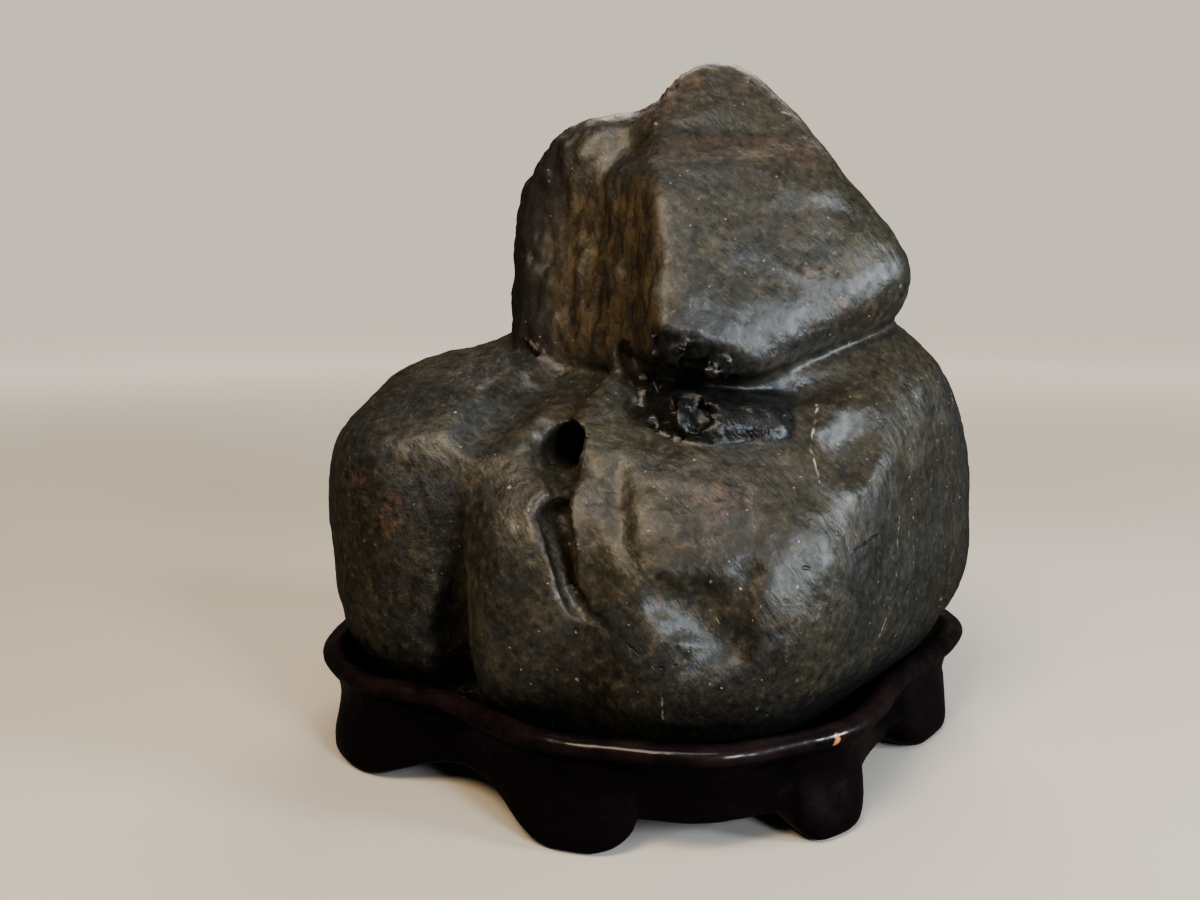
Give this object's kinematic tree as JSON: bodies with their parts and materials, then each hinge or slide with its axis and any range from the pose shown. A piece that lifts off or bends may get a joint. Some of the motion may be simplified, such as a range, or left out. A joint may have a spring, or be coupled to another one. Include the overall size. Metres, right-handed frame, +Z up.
{
  "type": "scholars rock on stand",
  "caption": "Dark viewing stone with an overhanging head and a lower shoulder, seated in a low carved hardwood stand that follows its outline on short feet.",
  "frame": {"origin": "the middle of the object's outline, on the surface the stand's feet rest on", "axes": "+X to the right along the stone's length, +Y from the front face to the back, +Z up"},
  "size_m": [0.2018, 0.161, 0.2005],
  "materials": {
    "stone": "satin water-worn stone",
    "stand_wood": "dark satin lacquered hardwood"
  },
  "bodies": {
    "root": {"stone": "stone", "stand": "stand_wood"}
  },
  "joints": []
}
